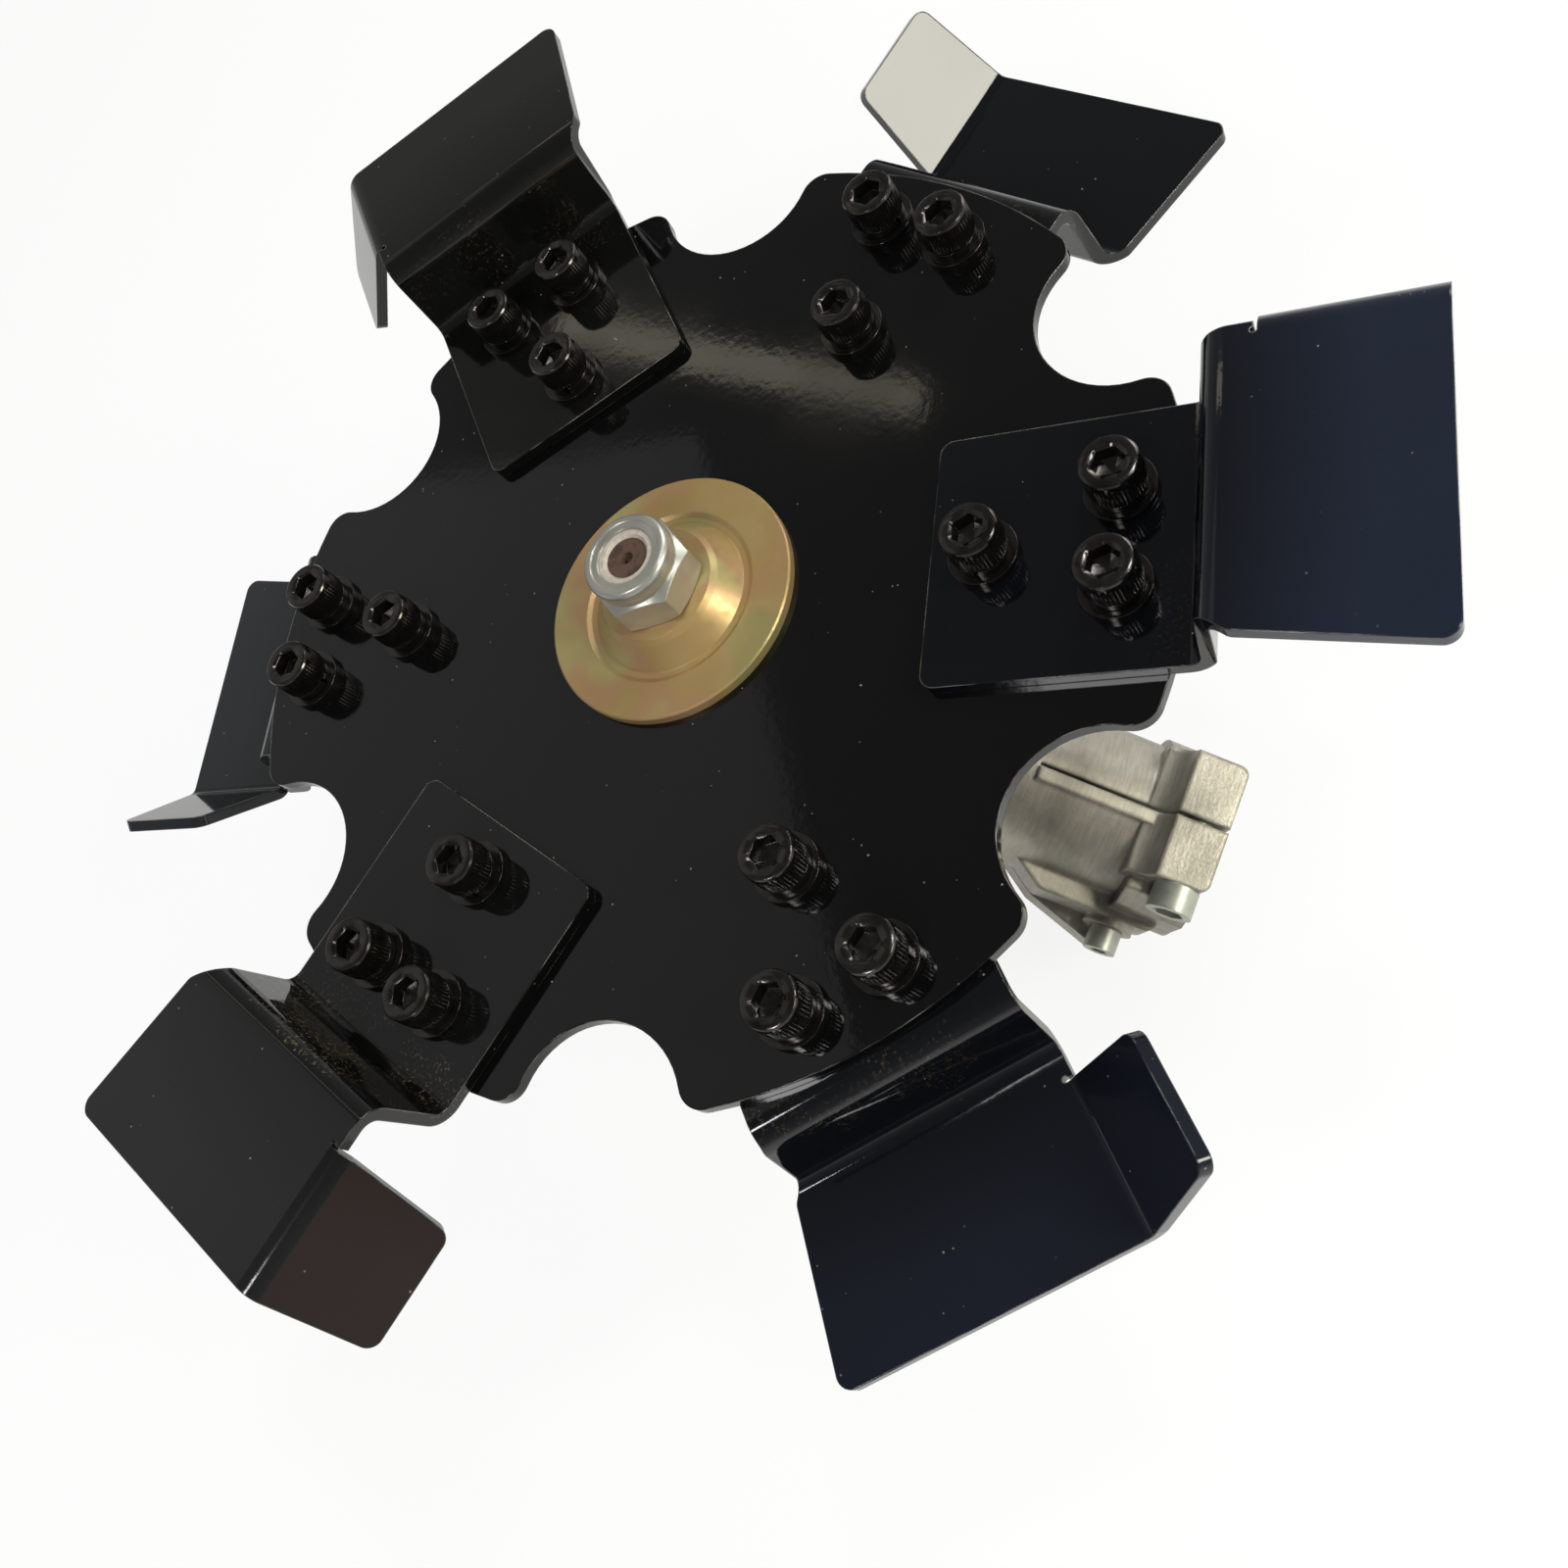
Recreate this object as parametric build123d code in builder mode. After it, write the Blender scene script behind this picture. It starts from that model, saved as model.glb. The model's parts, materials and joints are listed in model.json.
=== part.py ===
# Ditching blade for a brush cutter: a six-bladed wheel on its bevel gear head.
# Millimetres. +Z runs along the output shaft towards the lock nut, and the origin lies
# on the pole's axis in the middle of the split clamp.
import os
from math import atan, atan2, cos, degrees, hypot, radians, sin, tan

from build123d import *

os.makedirs("parts", exist_ok=True)

# Layout of the head
pole_tilt = 30.0                 # the pole leans this far below the wheel's plane
clamp_reach = 88.0               # gear centre to the middle of the clamp, along the pole
disc_top = 30.0                  # gear centre to the upper face of the disc

# Wheel
sheet = 2.3                      # thickness of the disc and of every blade
disc_radius = 92.8
blade_count = 6
first_blade = -72.75             # direction of the first upper blade, from +X
notch_radius = 16.0
lobe_corner = 4.5
pilot_radius = 12.7              # one inch centring boss
pilot_clearance = 0.1

# Blades, placed from the rim of the disc
rim_gap = 2.2                    # rim to the inner face of the riser
flare_run = 7.0                  # riser to where the trailing edge widens
flap_run = 10.0                  # riser to the start of the flap
plate_run = 36.5                 # riser to the blade's tip
blade_half_width = 22.9
step_run = 2.0
step_rise = 17.7
flare_half_width = 26.6
tip_half_width = 31.0
bend_radius = 2.5                # inside radius of every bend
blade_corner = 2.5
flap_fold = 23.6                 # where the plate's and the flap's outer faces would meet
flap_angle = 53.0
flap_length = 22.7               # from that line to the flap's edge
flap_taper_inner = 3.6
flap_taper_outer = 1.0
relief_radius = 0.5

# Screws that hold the blades
screw_margin = 10.9              # rim to the outer pair
screw_rows = 22.1                # outer pair to the inner screw
root_margin = 9.5                # inner screw to the blade's inner end
outer_screw_side = 8.55
screw_radius = 3.0
screw_hole_radius = 3.3
head_radius = 5.0
head_height = 6.0
key_size = 5.0                   # across the flats of the hexagon socket
key_depth = 3.0
spring_washer = 1.6
spring_washer_radius = 4.7
spring_gap = 0.8
flat_washer = 1.4
flat_washer_radius = 6.0
screw_length = 16.0
nut_size = 10.0
nut_height = 5.0

# Clamping washer and lock nut
thread_radius = 5.0
washer_play = 0.2                # round the thread
cup_radius = 24.2
cup_rim = 2.0
cup_edge = 0.3
cup_height = 6.4
cup_wall = 2.0
cup_top_radius = 11.0
cup_top_round = 0.9
cup_foot_radius = 15.0           # where the raised middle meets its groove
cup_groove_radius = 17.0
cup_groove_slope = 0.9
cup_groove_depth = 0.5
cup_room_radius = 10.0           # underside of the raised middle
cup_room_play = 0.8              # round the centring boss
lock_nut_size = 17.0
lock_nut_flats = 6.8
lock_nut_height = 11.0
nut_seat_chamfer = 0.8
nut_seat_inset = 0.2
nut_shoulder_drop = 0.9
collar_radius = 8.3
collar_round = 1.0
ring_outer_radius = 6.3
ring_height = 2.6
ring_drop = 0.7                  # below the collar's top
ring_lip = 0.3                   # of the collar over the ring
ring_mouth = 0.5

# Output shaft and its bearings
shaft_radius = 6.0
shaft_sink = 0.5                 # below the top of the nylon ring
shaft_chamfer = 1.1
centre_hole_radius = 1.2
centre_hole_foot = 0.9
centre_hole_depth = 1.5
front_bearing_top = 15.9         # above the gear centre
front_bearing_radius = 16.0
front_bearing_width = 10.0
rear_shaft_radius = 5.0
rear_bearing_top = -21.0
rear_bearing_radius = 13.0
rear_bearing_width = 8.0
race_wall = 3.0
rear_race_wall = 2.5
input_race_wall = 2.0
flange_radius = 25.0
flange_thickness = 4.0
flange_chamfer = 1.0
flange_hub_radius = 9.0
pilot_drop = 0.3                 # boss below the upper face of the disc
case_gap = 1.5                   # flange to the casting
seal_height = 4.0
seal_skin = 0.8
seal_rib = 1.5
seal_lip = 1.4
seal_clearance = 0.05
circlip_thickness = 1.2
circlip_width = 2.6
circlip_gap = 8.0
groove_depth = 0.8

# Bevel gears, 60 degrees apart and with their cones meeting in the gear centre
driven_teeth = 19
pinion_teeth = 14
cone_distance = 21.0
face_width = 6.5
backlash = 0.44
tooth_addendum = 0.92            # of the module
tooth_dedendum = 1.2
tooth_sink = 0.5                 # of the tooth's foot into the body
pressure_angle = 20.0

# Input side, measured along the pole's axis from the gear centre
input_bearing_start = 24.0
input_bearing_width = 6.0
input_bearing_radius = 12.0
pole_radius = 13.0
pole_stop = 40.0
mouth = 93.4
drive_square = 6.0
drive_depth = 16.0
pinion_shoulder = 1.4

# Casting, case round the gears
gear_room = 14.5
pinion_room = 10.6
case_wall = 7.5
case_base = -33.0
case_toe = 6.0                   # the foot tapers inwards by this much
case_toe_height = 9.0
case_shoulder = 8.0
case_shoulder_run = 5.0
case_neck = 2.0
plug_drop = 9.0                  # below the gear centre
plug_radius = 4.0
plug_length = 7.0
plug_seat_radius = 6.6           # flat seat on the round case
plug_head_size = 10.0
plug_head_height = 3.5

# Casting, barrel and split clamp
barrel_radius = 16.3
clamp_length = 12.9              # the barrel's thicker end, up to its mouth
clamp_radius = 17.8
block_depth = 9.9                # mouth to the block's back
block_half_width = 12.4
block_top = 21.0
block_sweep = 4.5                # hollow radius between the barrel and the block
block_corner = 1.8
shoulder_side = 17.6             # the wall that shields the clamp screw's head
shoulder_height = 10.5
shoulder_top_side = 14.9
shoulder_top = 14.6
slot_width = 0.8
slot_start = 58.0
land_width = 3.0                 # flat strip beside the slot
land_rise = 0.7
clamp_screw_margin = 4.7         # mouth to the clamp screw
clamp_screw_height = 17.2
clamp_screw_radius = 2.5
clamp_head_radius = 4.2
clamp_head_length = 5.0
clamp_pocket_play = 0.5
locating_margin = 11.0           # mouth to the locating screw
locating_radius = 2.5
locating_head_radius = 3.1
locating_head_length = 4.5
locating_key = 3.0
lug_length = 32.0
lug_sink = 3.0                   # into the barrel's side
lug_flare = 9.0
lug_side = 19.5
lug_margin = 3.4                 # mouth to the rib's end
lug_top = 5.0
lug_corner = 2.0
boss_radius = 4.8                # round the locating screw
boss_side = 21.0
shelf_side = 24.4                # the shelf under the locating screw's head
shelf_run = 3.1                  # past the locating screw
shelf_gap = 0.3
shelf_height = 5.6

lean = radians(pole_tilt)
centre = Vector(0, clamp_reach * cos(lean), clamp_reach * sin(lean))
wheel = Plane(origin=centre, x_dir=(1, 0, 0), z_dir=(0, 0, 1))
pole = Plane(origin=centre, x_dir=(1, 0, 0), z_dir=(0, -cos(lean), -sin(lean)))
half_step = 180 / blade_count
step_start = disc_radius + rim_gap
flare_start = step_start + flare_run
flap_start = step_start + flap_run
blade_tip = step_start + plate_run
outer_screw = disc_radius - screw_margin
inner_screw = outer_screw - screw_rows
blade_root = inner_screw - root_margin


def save(solid, name):
    solid.label = name
    export_step(solid, f"parts/{name}.step")


def turned(points, plane, mode=Mode.ADD):
    # Revolves an outline of radius and height points about the plane's own axis
    with BuildSketch(Plane(origin=plane.origin, x_dir=plane.x_dir, z_dir=-plane.y_dir)) as half_section:
        with BuildLine():
            Polyline(*points, close=True)
        make_face()
    revolve(half_section.sketch, axis=Axis(plane.origin, plane.z_dir), mode=mode)


# Disc: six notches leave six lobes, and each lobe carries three screw holes
first_notch = Vector(1, 0, 0).rotate(Axis.Z, first_blade + half_step)
disc_plane = Plane(origin=centre, x_dir=first_notch, z_dir=(0, 0, 1))
outer_screw_distance = hypot(outer_screw, outer_screw_side)
outer_screw_turn = degrees(atan2(outer_screw_side, outer_screw))
screw_pattern = [
    (inner_screw, 0),
    (outer_screw_distance, -outer_screw_turn),
    (outer_screw_distance, outer_screw_turn),
]


def screw_circles(radius, start, count):
    for distance, turn in screw_pattern:
        with PolarLocations(distance, count, start_angle=start + turn):
            Circle(radius)


def screw_hexagons(size, start, count):
    for distance, turn in screw_pattern:
        with PolarLocations(distance, count, start_angle=start + turn):
            RegularPolygon(size / 2, 6, major_radius=False)


def washer_gaps(start, count):
    for distance, turn in screw_pattern:
        with PolarLocations(distance, count, start_angle=start + turn):
            with Locations((spring_washer_radius / 2, 0)):
                Rectangle(spring_washer_radius, spring_gap)


with BuildPart() as disc:
    with BuildSketch(disc_plane.offset(disc_top - sheet)) as disc_outline:
        Circle(disc_radius)
        with PolarLocations(disc_radius, blade_count):
            Circle(notch_radius, mode=Mode.SUBTRACT)
        fillet(disc_outline.vertices(), lobe_corner)
        Circle(pilot_radius + pilot_clearance, mode=Mode.SUBTRACT)
    extrude(amount=sheet)
    with BuildSketch(disc_plane.offset(disc_top)):
        screw_circles(screw_hole_radius, half_step, blade_count)
    extrude(amount=-sheet, mode=Mode.SUBTRACT)

save(disc.part, "disc")

# Blade: drawn along X on the disc's upper face, a Z-bent plate with one flap folded down
bend_middle = bend_radius + sheet / 2
plate_top = step_rise + sheet
bend_outer = bend_radius + sheet
fold_start = flap_fold - bend_outer * tan(radians(flap_angle) / 2)
flap_straight = flap_length - bend_outer * tan(radians(flap_angle) / 2)

with BuildPart() as blade:
    with BuildSketch(Plane.XZ) as side_view:
        with BuildLine() as middle_line:
            FilletPolyline(
                (blade_root, sheet / 2),
                (step_start + sheet / 2, sheet / 2),
                (step_start + step_run + sheet / 2, step_rise + sheet / 2),
                (blade_tip, step_rise + sheet / 2),
                radius=bend_middle,
            )
            offset(amount=sheet / 2, side=Side.BOTH)
        make_face()
    extrude(amount=tip_half_width + sheet, both=True)
    with BuildSketch(Plane.XY) as plan:
        with BuildLine():
            Polyline(
                (blade_root, -blade_half_width),
                (step_start + step_run, -blade_half_width),
                (flare_start, -flare_half_width),
                (blade_tip, -tip_half_width),
                (blade_tip, fold_start),
                (flap_start, fold_start),
                (flap_start, blade_half_width),
                (blade_root, blade_half_width),
                close=True,
            )
        make_face()
        rounded = plan.vertices().filter_by(lambda v: v.Y < 0 or v.X < step_start)
        fillet(rounded, blade_corner)
        with Locations((flap_start, fold_start + relief_radius / 2)):
            Circle(relief_radius, mode=Mode.SUBTRACT)
        for distance, turn in screw_pattern:
            with PolarLocations(distance, 1, start_angle=turn):
                Circle(screw_hole_radius, mode=Mode.SUBTRACT)
    extrude(amount=plate_top + sheet, both=True, mode=Mode.INTERSECT)

    # The flap: a strip of the plate's edge turned about the bend, then the flat flap
    fold_plane = Plane(origin=(0, fold_start, 0), x_dir=(1, 0, 0), z_dir=(0, -1, 0))
    with BuildSketch(fold_plane):
        with Locations(((flap_start + relief_radius + blade_tip) / 2, step_rise + sheet / 2)):
            Rectangle(blade_tip - flap_start - relief_radius, sheet)
    fold_axis = Axis((0, fold_start, step_rise - bend_radius), (-1, 0, 0))
    revolve(axis=fold_axis, revolution_arc=flap_angle)

    turn = radians(flap_angle)
    flap_plane = Plane(
        origin=(0, fold_start + bend_outer * sin(turn), plate_top - bend_outer * (1 - cos(turn))),
        x_dir=(1, 0, 0),
        z_dir=(0, sin(turn), cos(turn)),
    )
    with BuildSketch(flap_plane) as flap_outline:
        with BuildLine():
            Polyline(
                (flap_start + relief_radius, 0),
                (blade_tip, 0),
                (blade_tip - flap_taper_outer, flap_straight),
                (flap_start + flap_taper_inner, flap_straight),
                close=True,
            )
        make_face()
        fillet(flap_outline.vertices().group_by(Axis.Y)[-1], blade_corner)
    extrude(amount=-sheet)

lower_blade = mirror(blade.part, about=Plane.XY.offset(-sheet / 2))
for number in range(blade_count // 2):
    on_top = Plane(origin=centre + Vector(0, 0, disc_top)).location
    upper_turn = Rotation(0, 0, first_blade + 4 * half_step * number)
    lower_turn = Rotation(0, 0, first_blade + 2 * half_step + 4 * half_step * number)
    save(on_top * upper_turn * blade.part, f"upper_blade_{number + 1}")
    save(on_top * lower_turn * lower_blade, f"lower_blade_{number + 1}")

# Blade screws: three for each blade, the upper blades one sheet higher than the lower ones
groups = [(first_blade, disc_top + sheet, disc_top - sheet)]
groups.append((first_blade + 2 * half_step, disc_top, disc_top - 2 * sheet))
pattern_count = blade_count // 2

with BuildPart() as cap_screws:
    for start, seat, nut_seat in groups:
        head_base = seat + flat_washer + spring_washer
        with BuildSketch(wheel.offset(head_base)):
            screw_circles(head_radius, start, pattern_count)
        extrude(amount=head_height)
        with BuildSketch(wheel.offset(head_base + head_height)):
            screw_hexagons(key_size, start, pattern_count)
        extrude(amount=-key_depth, mode=Mode.SUBTRACT)
        with BuildSketch(wheel.offset(head_base)):
            screw_circles(screw_radius, start, pattern_count)
        extrude(amount=-screw_length)

save(cap_screws.part, "cap_screws")

with BuildPart() as spring_washers:
    for start, seat, nut_seat in groups:
        with BuildSketch(wheel.offset(seat + flat_washer)):
            screw_circles(spring_washer_radius, start, pattern_count)
        extrude(amount=spring_washer)
        with BuildSketch(wheel.offset(seat + flat_washer)):
            screw_circles(screw_radius, start, pattern_count)
            washer_gaps(start, pattern_count)
        extrude(amount=spring_washer, mode=Mode.SUBTRACT)

save(spring_washers.part, "spring_washers")

with BuildPart() as flat_washers:
    for start, seat, nut_seat in groups:
        with BuildSketch(wheel.offset(seat)):
            screw_circles(flat_washer_radius, start, pattern_count)
        extrude(amount=flat_washer)
        with BuildSketch(wheel.offset(seat)):
            screw_circles(screw_radius, start, pattern_count)
        extrude(amount=flat_washer, mode=Mode.SUBTRACT)

save(flat_washers.part, "flat_washers")

with BuildPart() as hex_nuts:
    for start, seat, nut_seat in groups:
        with BuildSketch(wheel.offset(nut_seat)):
            screw_hexagons(nut_size, start, pattern_count)
        extrude(amount=-nut_height)
        with BuildSketch(wheel.offset(nut_seat)):
            screw_circles(screw_radius, start, pattern_count)
        extrude(amount=-nut_height, mode=Mode.SUBTRACT)

save(hex_nuts.part, "hex_nuts")

# Clamping washer: a flat rim, a shallow groove and a raised middle under the lock nut
top = wheel.offset(disc_top)
with BuildPart() as clamping_washer:
    turned(
        [
            (thread_radius + washer_play, cup_height - cup_wall),
            (cup_room_radius, cup_height - cup_wall),
            (pilot_radius + cup_room_play, 0),
            (cup_radius, 0),
            (cup_radius, cup_rim - cup_edge),
            (cup_radius - cup_edge, cup_rim),
            (cup_groove_radius, cup_rim),
            (cup_groove_radius - cup_groove_slope, cup_rim - cup_groove_depth),
            (cup_foot_radius, cup_rim - cup_groove_depth),
            (cup_top_radius + cup_top_round, cup_height - cup_top_round),
            (cup_top_radius, cup_height),
            (thread_radius + washer_play, cup_height),
        ],
        top,
    )

save(clamping_washer.part, "clamping_washer")

# Lock nut: hexagon, round collar and a lip that holds the nylon ring
nut_top = cup_height + lock_nut_height
flats_top = cup_height + lock_nut_flats
ring_top = nut_top - ring_drop
thread_end = ring_top - shaft_sink
with BuildPart() as lock_nut:
    with BuildSketch(top.offset(cup_height)):
        RegularPolygon(lock_nut_size / 2, 6, major_radius=False)
    extrude(amount=lock_nut_flats)
    corner = lock_nut_size / 2 / cos(radians(30))
    turned(
        [
            (0, cup_height),
            (lock_nut_size / 2 - nut_seat_inset, cup_height),
            (corner, cup_height + nut_seat_chamfer),
            (corner, flats_top - nut_shoulder_drop),
            (collar_radius, flats_top),
            (0, flats_top),
        ],
        top,
        Mode.INTERSECT,
    )
    with BuildSketch(top.offset(flats_top)):
        Circle(collar_radius)
    extrude(amount=nut_top - flats_top)
    fillet(lock_nut.edges().group_by(Axis.Z)[-1], collar_round)
    with BuildSketch(top.offset(cup_height)):
        Circle(thread_radius)
    extrude(amount=lock_nut_height, mode=Mode.SUBTRACT)
    with BuildSketch(top.offset(ring_top - ring_height)):
        Circle(ring_outer_radius)
    extrude(amount=ring_height, mode=Mode.SUBTRACT)
    with BuildSketch(top.offset(ring_top)):
        Circle(ring_outer_radius - ring_lip)
    extrude(amount=ring_drop, mode=Mode.SUBTRACT)

save(lock_nut.part, "lock_nut")

# The ring closes over the chamfered end of the thread
with BuildPart() as nylon_ring:
    turned(
        [
            (thread_radius, ring_top - ring_height),
            (ring_outer_radius, ring_top - ring_height),
            (ring_outer_radius, ring_top),
            (thread_radius - shaft_chamfer + ring_mouth, ring_top),
            (thread_radius - shaft_chamfer, thread_end),
            (thread_radius, thread_end - shaft_chamfer),
        ],
        top,
    )

save(nylon_ring.part, "nylon_ring")

# Output side, heights above the gear centre
flange_top = disc_top - sheet
flange_base = flange_top - flange_thickness
front_bearing_base = front_bearing_top - front_bearing_width
case_top = flange_base - case_gap
rear_bearing_base = rear_bearing_top - rear_bearing_width
shaft_end = disc_top + thread_end
boss_top = disc_top - pilot_drop

with BuildPart() as drive_flange:
    turned(
        [
            (shaft_radius, front_bearing_top),
            (flange_hub_radius, front_bearing_top),
            (flange_hub_radius, flange_base),
            (flange_radius - flange_chamfer, flange_base),
            (flange_radius, flange_base + flange_chamfer),
            (flange_radius, flange_top),
            (pilot_radius, flange_top),
            (pilot_radius, boss_top),
            (shaft_radius, boss_top),
        ],
        wheel,
    )

save(drive_flange.part, "drive_flange")

with BuildPart() as output_shaft:
    turned(
        [
            (0, rear_bearing_base),
            (rear_shaft_radius, rear_bearing_base),
            (rear_shaft_radius, rear_bearing_top),
            (shaft_radius, rear_bearing_top),
            (shaft_radius, boss_top),
            (thread_radius, boss_top),
            (thread_radius, shaft_end - shaft_chamfer),
            (thread_radius - shaft_chamfer, shaft_end),
            (centre_hole_radius, shaft_end),
            (centre_hole_foot, shaft_end - centre_hole_depth),
            (0, shaft_end - centre_hole_depth),
        ],
        wheel,
    )

save(output_shaft.part, "output_shaft")


def race(inner, outer, plane, height):
    with BuildSketch(plane) as ring:
        Circle(outer)
        Circle(inner, mode=Mode.SUBTRACT)
    extrude(ring.sketch, amount=height)


front_seat = wheel.offset(front_bearing_base)
with BuildPart() as front_bearing_outer:
    race(front_bearing_radius - race_wall, front_bearing_radius, front_seat, front_bearing_width)

save(front_bearing_outer.part, "front_bearing_outer")

with BuildPart() as front_bearing_inner:
    race(shaft_radius, shaft_radius + race_wall, front_seat, front_bearing_width)

save(front_bearing_inner.part, "front_bearing_inner")

rear_seat = wheel.offset(rear_bearing_base)
with BuildPart() as rear_bearing_outer:
    race(rear_bearing_radius - race_wall, rear_bearing_radius, rear_seat, rear_bearing_width)

save(rear_bearing_outer.part, "rear_bearing_outer")

with BuildPart() as rear_bearing_inner:
    race(rear_shaft_radius, rear_shaft_radius + rear_race_wall, rear_seat, rear_bearing_width)

save(rear_bearing_inner.part, "rear_bearing_inner")

input_seat = pole.offset(input_bearing_start)
input_bearing_length = 2 * input_bearing_width
with BuildPart() as input_bearing_outer:
    input_race_bore = input_bearing_radius - input_race_wall
    race(input_race_bore, input_bearing_radius, input_seat, input_bearing_length)

save(input_bearing_outer.part, "input_bearing_outer")

with BuildPart() as input_bearing_inner:
    race(shaft_radius, shaft_radius + input_race_wall, input_seat, input_bearing_length)

save(input_bearing_inner.part, "input_bearing_inner")

seal_base = front_bearing_top + circlip_thickness
with BuildPart() as output_seal:
    turned(
        [
            (front_bearing_radius, seal_base),
            (front_bearing_radius, seal_base + seal_height),
            (flange_hub_radius + seal_lip, seal_base + seal_height),
            (flange_hub_radius + seal_clearance, seal_base + seal_height / 2),
            (flange_hub_radius + seal_lip, seal_base + seal_skin),
            (front_bearing_radius - seal_rib, seal_base + seal_skin),
            (front_bearing_radius - seal_rib, seal_base),
        ],
        wheel,
    )

save(output_seal.part, "output_seal")


def circlip(bore, plane):
    # Sprung ring with its gap, standing in a groove of the bore
    with BuildSketch(plane) as ring:
        Circle(bore + groove_depth)
        Circle(bore - circlip_width, mode=Mode.SUBTRACT)
        with Locations((0, bore)):
            Rectangle(circlip_gap, 2 * bore, mode=Mode.SUBTRACT)
    extrude(ring.sketch, amount=circlip_thickness)


with BuildPart() as output_circlip:
    circlip(front_bearing_radius, wheel.offset(front_bearing_top))

save(output_circlip.part, "output_circlip")

input_circlip_start = input_bearing_start + input_bearing_length
with BuildPart() as input_circlip:
    circlip(input_bearing_radius, pole.offset(input_circlip_start))

save(input_circlip.part, "input_circlip")

# Bevel gears: one whole toothed section, lofted to its smaller copy nearer the gear centre
cone_gap = radians(90 - pole_tilt)
driven_cone = atan(sin(cone_gap) / (pinion_teeth / driven_teeth + cos(cone_gap)))
pinion_cone = cone_gap - driven_cone
module = 2 * cone_distance * sin(driven_cone) / driven_teeth


def toothed_section(cone, teeth, distance, start):
    scale = distance / cone_distance
    height = distance * cos(cone)
    addendum = tooth_addendum * module * scale
    dedendum = tooth_dedendum * module * scale
    pitch_radius = height * tan(cone)
    tip_radius = height * tan(cone + atan(addendum / distance))
    root_radius = height * tan(cone - atan(dedendum / distance))
    foot_radius = root_radius - tooth_sink
    slope = tan(radians(pressure_angle))
    pitch_half = pitch_radius * radians(90 / teeth) - backlash * scale / 2
    Circle(root_radius)
    for number in range(teeth):
        with PolarLocations(0, 1, start_angle=start + 360 / teeth * number):
            Polygon(
                (foot_radius, -pitch_half - dedendum * slope),
                (root_radius, -pitch_half - dedendum * slope),
                (tip_radius, addendum * slope - pitch_half),
                (tip_radius, pitch_half - addendum * slope),
                (root_radius, pitch_half + dedendum * slope),
                (foot_radius, pitch_half + dedendum * slope),
                align=None,
            )


driven_axis = Plane(origin=centre, x_dir=(0, -1, 0), z_dir=(0, 0, -1))
inner_distance = cone_distance - face_width
driven_back = cone_distance * cos(driven_cone)
with BuildPart() as driven_gear:
    with BuildSketch(driven_axis.offset(inner_distance * cos(driven_cone))):
        toothed_section(driven_cone, driven_teeth, inner_distance, 180 / driven_teeth)
    with BuildSketch(driven_axis.offset(driven_back)):
        toothed_section(driven_cone, driven_teeth, cone_distance, 180 / driven_teeth)
    loft(ruled=True)
    with BuildSketch(driven_axis.offset(driven_back)):
        Circle(flange_hub_radius)
    extrude(amount=-rear_bearing_top - driven_back)
    with BuildSketch(driven_axis):
        Circle(shaft_radius)
    extrude(amount=-rear_bearing_top, mode=Mode.SUBTRACT)

save(driven_gear.part, "driven_gear")

pinion_axis = Plane(origin=centre, x_dir=-pole.y_dir, z_dir=pole.z_dir)
pinion_back = cone_distance * cos(pinion_cone)
pinion_end = input_circlip_start + circlip_thickness
with BuildPart() as input_pinion:
    with BuildSketch(pinion_axis.offset(inner_distance * cos(pinion_cone))):
        toothed_section(pinion_cone, pinion_teeth, inner_distance, 0)
    with BuildSketch(pinion_axis.offset(pinion_back)):
        toothed_section(pinion_cone, pinion_teeth, cone_distance, 0)
    loft(ruled=True)
    with BuildSketch(pinion_axis.offset(pinion_back)):
        Circle(shaft_radius + pinion_shoulder)
    extrude(amount=input_bearing_start - pinion_back)
    with BuildSketch(pinion_axis.offset(input_bearing_start)):
        Circle(shaft_radius)
    extrude(amount=pinion_end - input_bearing_start)
    with BuildSketch(pinion_axis.offset(pinion_end)):
        Rectangle(drive_square, drive_square)
    extrude(amount=-drive_depth, mode=Mode.SUBTRACT)

save(input_pinion.part, "input_pinion")

# Casting: a case round the output shaft and a barrel that ends in the split clamp
case_radius = gear_room + case_wall
clamp_start = mouth - clamp_length
block_start = mouth - block_depth
clamp_screw_reach = mouth - clamp_screw_margin
locating_reach = mouth - locating_margin
lug_end = mouth - lug_margin
lug_start = lug_end - lug_length
shelf_end = locating_reach + shelf_run
clamp_middle = pole.from_local_coords((0, clamp_screw_height, clamp_screw_reach))
clamp_axis = Plane(origin=clamp_middle, z_dir=-pole.x_dir)
locating_axis = Plane(origin=pole.from_local_coords((0, 0, locating_reach)), z_dir=-pole.x_dir)
grease_axis = Plane(origin=centre - Vector(0, 0, plug_drop), z_dir=(0, 1, 0))
plan_plane = Plane(origin=centre, x_dir=-pole.x_dir, z_dir=pole.y_dir)
side_plane = Plane(origin=centre, x_dir=pole.z_dir, z_dir=-pole.x_dir)
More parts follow.
